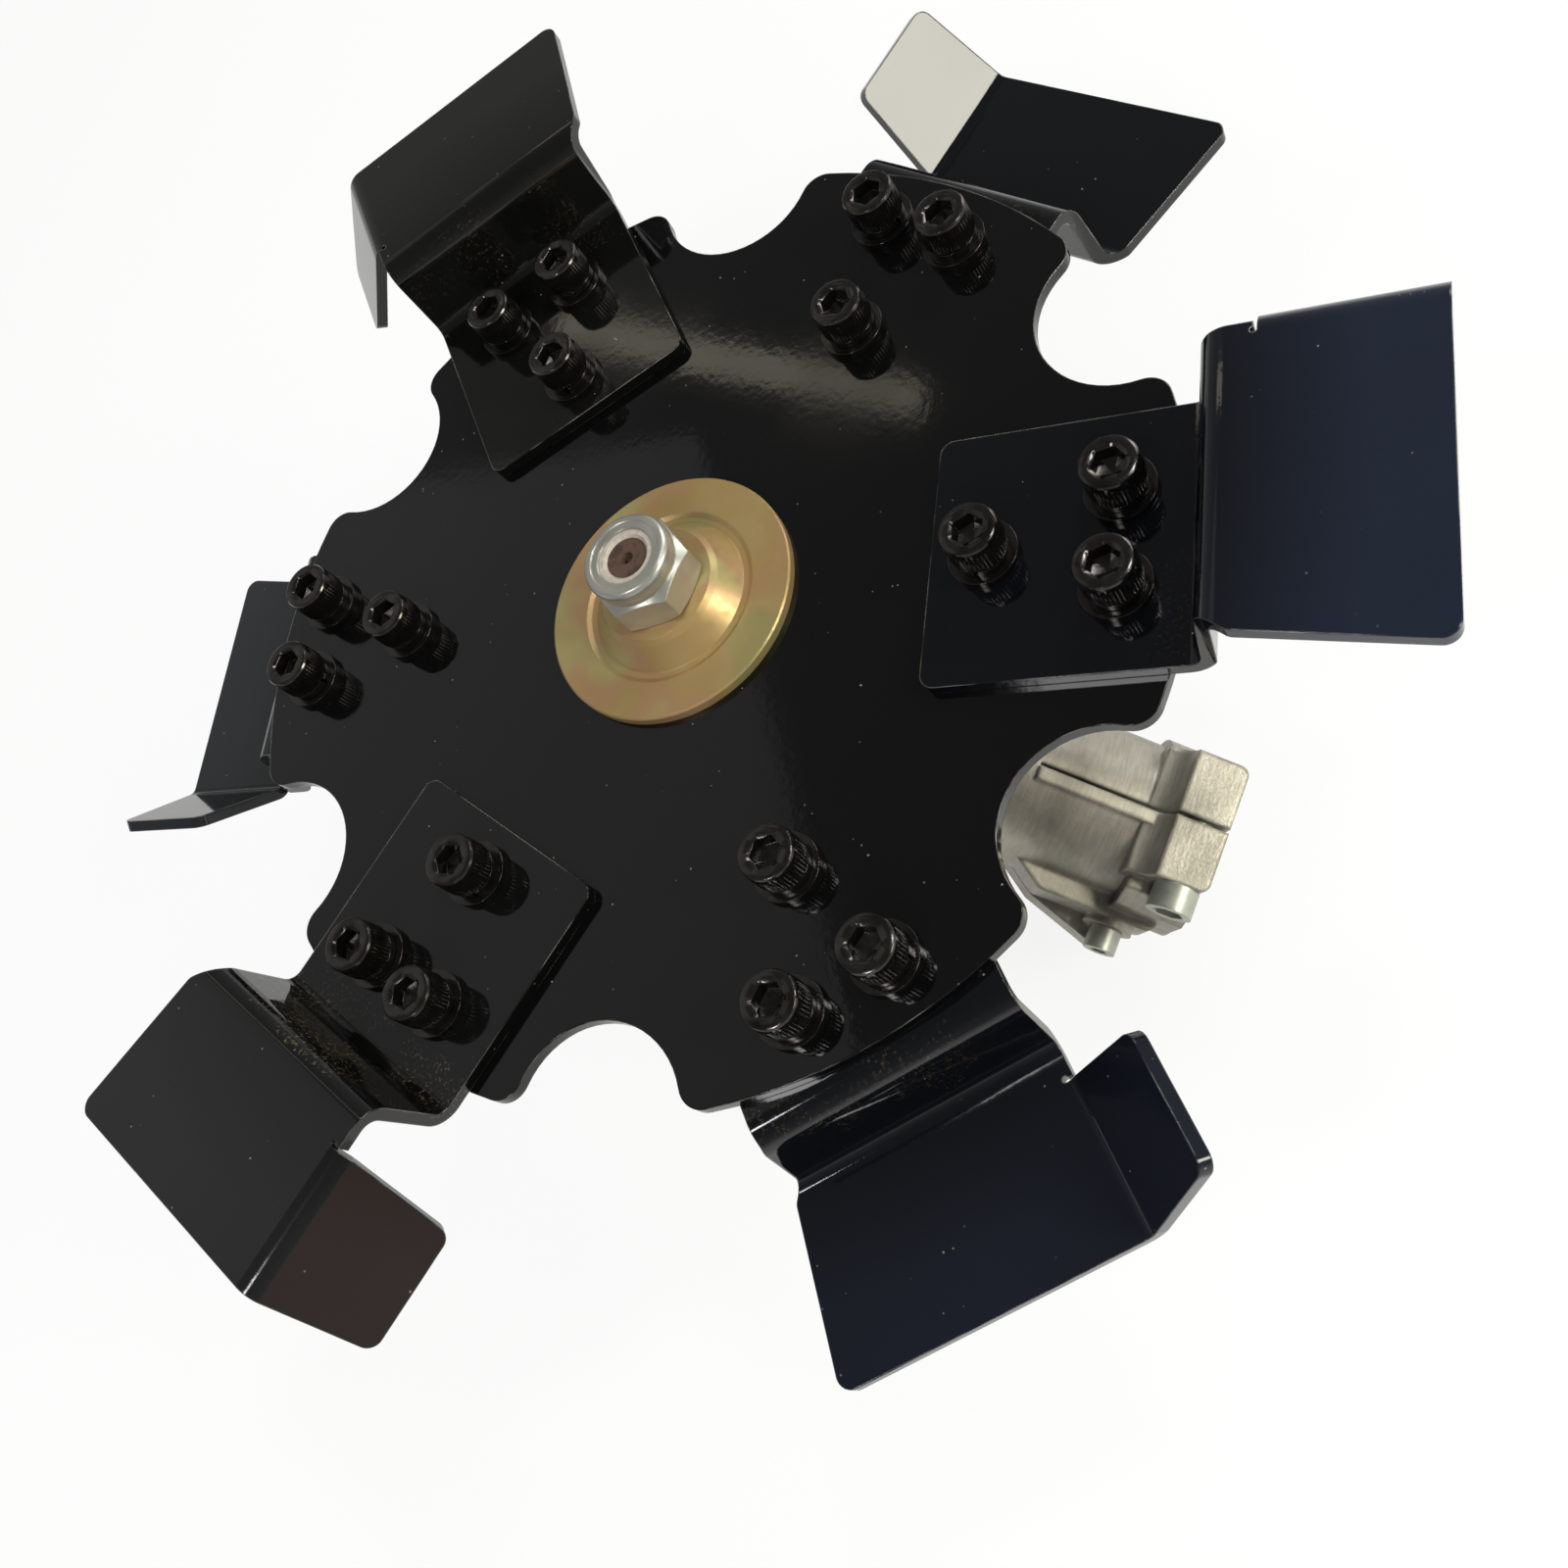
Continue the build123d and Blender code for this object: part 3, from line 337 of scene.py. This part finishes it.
polymerSettings = {
    "toneRange": (0.35, 0.65), "bump": 0.2, "bumpDepth": 0.05 * mm,
    # natural nylon, moulded: milky, with a soft sheen
    "naturalNylon": {"dark": "#a49b8e", "pale": "#b8afa2", "grainMm": 1.0, "roughness": 0.45, "ior": 1.53},
    # nitrile rubber, moulded: dull black
    "nitrileRubber": {"dark": "#151516", "pale": "#222223", "grainMm": 0.6, "roughness": 0.6, "ior": 1.52},
}


def mouldedPolymer(name):
    s = polymerSettings[name]
    material, tree = newMaterial(name)
    place = addNode(tree, "ShaderNodeTexCoord").outputs["Object"]
    grain = addNode(tree, "ShaderNodeTexNoise", {"Scale": perMetre(s["grainMm"]), "Detail": 3.0},
                    {"Vector": place})
    stops = list(zip(polymerSettings["toneRange"], (hexToLinear(s["dark"]), hexToLinear(s["pale"]))))
    colour = addNode(tree, "ShaderNodeValToRGB", {"stops": stops}, {"Fac": grain.outputs["Fac"]})
    bump = addNode(tree, "ShaderNodeBump",
                   {"Strength": polymerSettings["bump"], "Distance": polymerSettings["bumpDepth"]},
                   {"Height": grain.outputs["Fac"]})
    shader = addNode(tree, "ShaderNodeBsdfPrincipled", {"Roughness": s["roughness"], "IOR": s["ior"]},
                     {"Base Color": colour.outputs["Color"], "Normal": bump.outputs[0]})
    addNode(tree, "ShaderNodeOutputMaterial", links={"Surface": shader.outputs[0]})
    return material


finishes = {
    "black_oxide": finishedMetal("blackOxide"),
    "zinc_yellow": finishedMetal("yellowZinc"),
    "zinc_bright": finishedMetal("brightZinc"),
    "oiled_steel": finishedMetal("brownedSteel"),
    "ground_steel": finishedMetal("groundSteel"),
    "cast_alloy": castAluminium(),
    "nylon": mouldedPolymer("naturalNylon"),
    "seal_rubber": mouldedPolymer("nitrileRubber"),
}
nodeSlots = {part["node"]: part["material_slot"] for part in frame["record"]["subparts"]}
for nodeName, nodeObject in frame["nodes"].items():
    slotName = nodeSlots[nodeName]
    nodeObject.data.materials.clear()
    coated = slotName == "black_paint"
    nodeObject.data.materials.append(glossPowderCoat(nodeName) if coated else finishes[slotName])
print("finishes given to every CAD node")


wheelLayout = {
    "blades": 6, "firstBladeDegrees": -72.75,
    "innerScrew": 59.8 * mm, "outerScrew": 81.9 * mm, "outerScrewSide": 8.55 * mm,
    "turnPerScrew": 0.9, "turnPerBlade": 0.37,
}


def screwPlaces():
    # every blade screw's middle, the heights of its seat and of its nut's upper face, and its turn
    s = wheelLayout
    outer, side = s["outerScrew"], s["outerScrewSide"]
    pattern = [(s["innerScrew"], 0), (outer, -side), (outer, side)]
    places = []
    for blade in range(s["blades"]):
        turn = radians(s["firstBladeDegrees"] + 360 / s["blades"] * blade)
        raised = sheet if blade % 2 == 0 else 0
        nutTop = discTop - sheet if blade % 2 == 0 else discTop - 2 * sheet
        for index, (along, across) in enumerate(pattern):
            x = wheelX + along * cos(turn) - across * sin(turn)
            y = wheelY + along * sin(turn) + across * cos(turn)
            ownTurn = turn + s["turnPerScrew"] * index + s["turnPerBlade"] * blade
            places.append({"middle": (x, y), "seat": discTop + raised, "nutTop": nutTop, "turn": ownTurn})
    return places


def lathe(mesh, rings, steps, offset, turn=0.0, closed=False):
    # joins rings of (radius, height), either of which may be a function of the angle
    loops = []
    for radius, height in rings:
        loop = []
        for step in range(steps):
            angle = 2 * pi * step / steps
            r = radius(angle) if callable(radius) else radius
            z = height(angle) if callable(height) else height
            x, y = r * cos(angle + turn), r * sin(angle + turn)
            loop.append(mesh.verts.new((offset[0] + x, offset[1] + y, offset[2] + z)))
        loops.append(loop)
    pairs = list(zip(loops, loops[1:])) + ([(loops[-1], loops[0])] if closed else [])
    for lower, upper in pairs:
        for step in range(steps):
            after = (step + 1) % steps
            mesh.faces.new((lower[step], lower[after], upper[after], upper[step]))
    return loops


def finishPiece(name, mesh, material, replaced, smoothDegrees):
    data = bpy.data.meshes.new(name)
    bmesh.ops.remove_doubles(mesh, verts=mesh.verts, dist=weldDistance)
    bmesh.ops.recalc_face_normals(mesh, faces=mesh.faces)
    mesh.to_mesh(data)
    mesh.free()
    data.materials.append(material)
    piece = bpy.data.objects.new(name, data)
    scene.collection.objects.link(piece)
    piece.select_set(True)
    bpy.context.view_layer.objects.active = piece
    bpy.ops.object.shade_smooth_by_angle(angle=radians(smoothDegrees))
    piece.select_set(False)
    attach(piece, "wheel")
    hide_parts(replaced)


def hexRadius(acrossFlats, angle):
    # distance from the middle to a hexagon's side in that direction
    folded = (angle + pi / 6) % (pi / 3) - pi / 6
    return acrossFlats / 2 / cos(folded)


screwSettings = {
    "headRadius": 5.0 * mm, "headHeight": 6.0 * mm, "ridges": 44, "ridgeDepth": 0.22 * mm,
    # the head's outline below and above the ridges: how far inside the full radius, and height, in mm
    "foot": [(0.5, 0), (0.15, 0.25)], "top": [(0.1, 4.3), (0.1, 5.5), (0.3, 5.85), (0.65, 6.0)],
    "ridgedFrom": 0.5 * mm, "ridgedTo": 4.1 * mm, "stepsPerRidge": 4, "shankSteps": 32,
    "socketAcross": 5.0 * mm, "socketDepth": 3.0 * mm, "socketChamfer": 0.3 * mm, "socketPoint": 0.7 * mm,
    "shankRadius": 3.0 * mm, "length": 16.0 * mm,
    "threadPitch": 1.0 * mm, "threadDepth": 0.55 * mm, "threadedEnd": 6.2 * mm, "rowsPerTurn": 6,
    "endChamfer": 0.7 * mm, "socketTip": 0.02 * mm,
    "flatWasher": 1.4 * mm, "springWasher": 1.6 * mm,
}


def bladeScrew(mesh, place):
    # socket head with a knurled lower part, a plain shank and a cut thread at its end
    s = screwSettings
    rim, top, turn = s["headRadius"], s["headHeight"], place["turn"]
    offset = (*place["middle"], place["seat"] + s["flatWasher"] + s["springWasher"])

    def ridged(angle):
        phase = (angle * s["ridges"] / (2 * pi)) % 1
        return rim - s["ridgeDepth"] * abs(2 * phase - 1) ** 1.5

    def socket(angle):
        return hexRadius(s["socketAcross"], angle)

    rings = [(s["shankRadius"], 0)]
    rings += [(rim - inset * mm, height * mm) for inset, height in s["foot"]]
    rings += [(ridged, s["ridgedFrom"]), (ridged, s["ridgedTo"])]
    rings += [(rim - inset * mm, height * mm) for inset, height in s["top"]]
    rings += [
        (s["socketAcross"] / 2 / cos(pi / 6) + s["socketChamfer"], top),
        (socket, top - s["socketChamfer"]), (socket, top - s["socketDepth"]),
        (s["socketTip"], top - s["socketDepth"] - s["socketPoint"]),
    ]
    loops = lathe(mesh, rings, s["ridges"] * s["stepsPerRidge"], offset, turn)
    mesh.faces.new(loops[-1])

    plainEnd = s["length"] - s["threadedEnd"]
    lathe(mesh, [(s["shankRadius"], 0), (s["shankRadius"], -plainEnd)], s["shankSteps"], offset, turn)
    threadRings = []
    for row in range(int(s["threadedEnd"] / (s["threadPitch"] / s["rowsPerTurn"])) + 1):
        depth = row * s["threadPitch"] / s["rowsPerTurn"]
        endTaper = max(0.0, s["endChamfer"] - s["threadedEnd"] + depth)

        def threaded(angle, depth=depth, endTaper=endTaper):
            phase = (depth / s["threadPitch"] + angle / (2 * pi)) % 1
            return s["shankRadius"] - max(s["threadDepth"] * abs(2 * phase - 1), endTaper)

        threadRings.append((threaded, -plainEnd - depth))
    endLoops = lathe(mesh, threadRings, s["shankSteps"], offset, turn)
    mesh.faces.new(endLoops[-1])


screwMesh = bmesh.new()
for screwPlace in screwPlaces():
    bladeScrew(screwMesh, screwPlace)
finishPiece("bladeScrews", screwMesh, finishes["black_oxide"], "cap_screws", 28)

splitWasherSettings = {
    "inner": 3.05 * mm, "outer": 4.75 * mm, "gapDegrees": 9, "rise": 0.28 * mm, "steps": 40,
    "turnFactor": 2.3,
}


def splitWasher(mesh, place):
    # square wire wound once, its two ends a little apart
    s = splitWasherSettings
    x, y = place["middle"]
    turn = place["turn"] * s["turnFactor"]
    base = place["seat"] + screwSettings["flatWasher"]
    thick = screwSettings["springWasher"] - s["rise"]
    inner, outer = s["inner"], s["outer"]
    sections = []
    for step in range(s["steps"] + 1):
        share = step / s["steps"]
        angle = turn + radians(s["gapDegrees"]) / 2 + share * (2 * pi - radians(s["gapDegrees"]))
        lift = s["rise"] * share
        corners = ((inner, lift), (outer, lift), (outer, thick + lift), (inner, thick + lift))
        section = [(x + r * cos(angle), y + r * sin(angle), base + z) for r, z in corners]
        sections.append([mesh.verts.new(corner) for corner in section])
    for before, after in zip(sections, sections[1:]):
        for corner in range(4):
            following = (corner + 1) % 4
            mesh.faces.new((before[corner], before[following], after[following], after[corner]))
    mesh.faces.new(sections[0])
    mesh.faces.new(sections[-1])


splitMesh = bmesh.new()
for screwPlace in screwPlaces():
    splitWasher(splitMesh, screwPlace)
finishPiece("splitWashers", splitMesh, finishes["black_oxide"], "spring_washers", 35)

bladeNutSettings = {
    "across": 10.0 * mm, "height": 5.0 * mm, "bore": 3.0 * mm, "boreChamfer": 0.35 * mm,
    "faceRadius": 4.7 * mm, "chamferSlope": tan(radians(30)), "steps": 48, "turnFactor": 1.7,
}


def bladeNut(mesh, place):
    # hexagon whose corners are turned away on both faces
    s = bladeNutSettings
    edge, low = s["boreChamfer"], -s["height"]

    def side(angle):
        return hexRadius(s["across"], angle)

    def cut(angle):
        return max(0.0, side(angle) - s["faceRadius"]) * s["chamferSlope"]

    rings = [
        (s["bore"], low + edge), (s["bore"] + edge, low), (s["faceRadius"], low),
        (side, lambda a: low + cut(a)), (side, lambda a: -cut(a)),
        (s["faceRadius"], 0), (s["bore"] + edge, 0), (s["bore"], -edge),
    ]
    offset = (*place["middle"], place["nutTop"])
    lathe(mesh, rings, s["steps"], offset, place["turn"] * s["turnFactor"], closed=True)


nutMesh = bmesh.new()
for screwPlace in screwPlaces():
    bladeNut(nutMesh, screwPlace)
finishPiece("bladeNuts", nutMesh, finishes["black_oxide"], "hex_nuts", 25)
print("blade screws, split washers and nuts made")

lockNutSettings = {
    "seat": 6.4 * mm, "across": 17.0 * mm, "flats": 6.8 * mm, "faceRadius": 8.3 * mm,
    "chamferSlope": tan(radians(30)), "boreRadius": 5.0 * mm, "boreChamfer": 0.4 * mm, "turn": radians(90),
    "steps": 96,
    # the collar from the flats up to the mouth of the nylon ring: radius and height in mm
    "collar": [(7.95, 7.0), (7.9, 7.3), (8.0, 7.6), (8.28, 7.85), (8.3, 8.2), (8.3, 9.7), (8.22, 10.2),
               (8.0, 10.6), (7.65, 10.88), (7.2, 11.0), (6.8, 10.97), (6.55, 10.8), (6.4, 10.76),
               (5.8, 10.72), (5.4, 10.58), (5.25, 10.31)],
    "ringRoom": [(6.3, 10.305), (6.3, 7.7), (5.0, 7.7)],
}


def lockNut():
    # hexagon with turned-off corners, a neck, and a collar rolled in over the nylon ring
    s = lockNutSettings

    def side(angle):
        return hexRadius(s["across"], angle)

    def cut(angle):
        return max(0.0, side(angle) - s["faceRadius"]) * s["chamferSlope"]

    rings = [
        (s["boreRadius"], s["boreChamfer"]), (s["boreRadius"] + s["boreChamfer"], 0), (s["faceRadius"], 0),
        (side, cut), (side, lambda a: s["flats"] - cut(a)), (s["faceRadius"], s["flats"]),
    ]
    rings += [(radius * mm, height * mm) for radius, height in s["collar"] + s["ringRoom"]]
    mesh = bmesh.new()
    lathe(mesh, rings, s["steps"], (wheelX, wheelY, discTop + s["seat"]), s["turn"], closed=True)
    return mesh


finishPiece("lockNut", lockNut(), finishedMetal("turnedZinc"), "lock_nut", 24)
print("lock nut made")


floorSettings = {
    "size": 8.0, "drop": 0.4 * mm, "colour": "#f4f4f2", "whiteShare": 0.86, "mirroredShare": 0.35,
}


def paleFloor():
    # matt floor that camera and gloss see as almost plain white, so that only a light shadow is left
    s = floorSettings
    z = cadBounds[0][2] - s["drop"]
    half = s["size"] / 2
    data = bpy.data.meshes.new("paleFloor")
    corners = [(-half, -half, z), (half, -half, z), (half, half, z), (-half, half, z)]
    data.from_pydata(corners, [], [(0, 1, 2, 3)])
    material, tree = newMaterial("paleFloor")
    path = addNode(tree, "ShaderNodeLightPath")
    mirrored = addNode(tree, "ShaderNodeMath", {"operation": "MAXIMUM"},
                       {0: path.outputs["Is Glossy Ray"], 1: path.outputs["Is Transmission Ray"]})
    mirroredShare = addNode(tree, "ShaderNodeMath", {"operation": "MULTIPLY", 1: s["mirroredShare"]},
                            {0: mirrored.outputs[0]})
    share = addNode(tree, "ShaderNodeMath", {"operation": "MULTIPLY_ADD", 1: s["whiteShare"]},
                    {0: path.outputs["Is Camera Ray"], 2: mirroredShare.outputs[0]})
    matt = addNode(tree, "ShaderNodeBsdfDiffuse", {"Color": hexToLinear(s["colour"])})
    white = addNode(tree, "ShaderNodeEmission", {"Color": (1, 1, 1, 1), "Strength": 1.0})
    mixed = addNode(tree, "ShaderNodeMixShader",
                    links={0: share.outputs[0], 1: matt.outputs[0], 2: white.outputs[0]})
    addNode(tree, "ShaderNodeOutputMaterial", links={"Surface": mixed.outputs[0]})
    data.materials.append(material)
    floorObject = bpy.data.objects.new("paleFloor", data)
    scene.collection.objects.link(floorObject)


studioSettings = {
    # brightness by the height of the direction, from the horizon (0) to straight overhead (1)
    "walls": [(0.0, 0.90), (0.03, 0.70), (0.08, 0.32), (0.30, 0.26), (0.52, 0.20), (0.70, 0.14), (1.0, 0.10)],
}


def studioWorld():
    # a white room with a dark ceiling: the camera sees white, gloss sees white walls that dim upwards
    world = bpy.data.worlds.new("studio")
    scene.world = world
    world.use_nodes = True
    tree = world.node_tree
    tree.nodes.clear()
    direction = addNode(tree, "ShaderNodeTexCoord").outputs["Generated"]
    parts = addNode(tree, "ShaderNodeSeparateXYZ", links={0: direction})
    walls = addNode(tree, "ShaderNodeValToRGB", {"stops": greyStops(studioSettings["walls"])},
                    {"Fac": parts.outputs["Z"]})
    path = addNode(tree, "ShaderNodeLightPath")
    seen = addNode(tree, "ShaderNodeMath", {"operation": "MAXIMUM"},
                   {0: path.outputs["Is Camera Ray"], 1: path.outputs["Is Transmission Ray"]})
    colour = addNode(tree, "ShaderNodeMix", {"data_type": "RGBA", 7: (1, 1, 1, 1)},
                     {0: seen.outputs[0], 6: walls.outputs["Color"]})
    background = addNode(tree, "ShaderNodeBackground", {"Strength": 1.0}, {"Color": colour.outputs[2]})
    addNode(tree, "ShaderNodeOutputWorld", links={"Surface": background.outputs[0]})


lampSettings = {
    # name: azimuth and height in degrees as seen from the wheel, distance, width and height in metres,
    # turn about the line of sight in degrees, watts, colour, and whether gloss mirrors it
    "keySoftbox": (-73, 26, 1.15, 0.42, 0.40, 0, 8.0, "#fffdee", True),
    "rightSoftbox": (-8, 30, 1.20, 0.55, 0.45, 0, 5.2, "#ffffff", True),
    "leftSoftbox": (-150, 42, 1.30, 0.60, 0.60, 0, 8.0, "#f8f9ff", False),
    "leftGlint": (176, 60, 1.10, 0.14, 0.14, 0, 1.8, "#ffffff", True),
    "rightGlint": (-28, 64, 1.10, 0.14, 0.14, 0, 1.8, "#ffffff", True),
    "stripLamp": (52.9, 43.1, 1.418, 0.384, 0.036, 131.7, 0.068, "#fff6dc", True),
    "wallPanel": (92.0, 41.5, 1.57, 1.20, 0.85, -53, 0.72, "#ffffff", True),
    "warmCard": (-121, 20, 1.20, 0.40, 0.40, 0, 0.35, "#b06c40", True),
}


def studioLamps():
    # the left softbox only lights: mirrored, it would put pale bars on the blades' bends
    target = Vector((wheelX, wheelY, discTop))
    for name, settings in lampSettings.items():
        azimuth, height, distance, width, tall, turn, watts, colour, mirrored = settings
        lamp = bpy.data.lights.new(name, "AREA")
        lamp.shape = "RECTANGLE"
        lamp.size, lamp.size_y, lamp.energy = width, tall, watts
        lamp.color = hexToLinear(colour)[:3]
        a, h = radians(azimuth), radians(height)
        out = Vector((cos(h) * cos(a), cos(h) * sin(a), sin(h)))
        lampObject = bpy.data.objects.new(name, lamp)
        lampObject.location = target + distance * out
        facing = (-out).to_track_quat("-Z", "Y") @ Quaternion((0, 0, 1), radians(turn))
        lampObject.rotation_euler = facing.to_euler()
        lampObject.visible_glossy = mirrored
        scene.collection.objects.link(lampObject)


cameraSettings = {
    # from the calibration on the photograph: place and aim in mm, roll about the line of sight
    "place": (-77.83, -96.8, 287.67), "aim": (-27.23, 39.39, 74.0), "rollDegrees": -50.4, "lensMm": 36.12,
    "sensorMm": 36, "clipStart": 10 * mm,
}


def photoCamera():
    s = cameraSettings
    camera = bpy.data.cameras.new("photoCamera")
    camera.sensor_width = s["sensorMm"]
    camera.lens = s["lensMm"]
    camera.clip_start = s["clipStart"]
    cameraObject = bpy.data.objects.new("photoCamera", camera)
    place, aim = Vector(s["place"]) * mm, Vector(s["aim"]) * mm
    level = (aim - place).to_track_quat("-Z", "Y")
    cameraObject.location = place
    cameraObject.rotation_mode = "QUATERNION"
    cameraObject.rotation_quaternion = level @ Quaternion((0, 0, 1), radians(s["rollDegrees"]))
    scene.collection.objects.link(cameraObject)
    scene.camera = cameraObject


paleFloor()
studioWorld()
studioLamps()
photoCamera()
scene.view_settings.view_transform = "Standard"
print("floor, lamps and camera set")
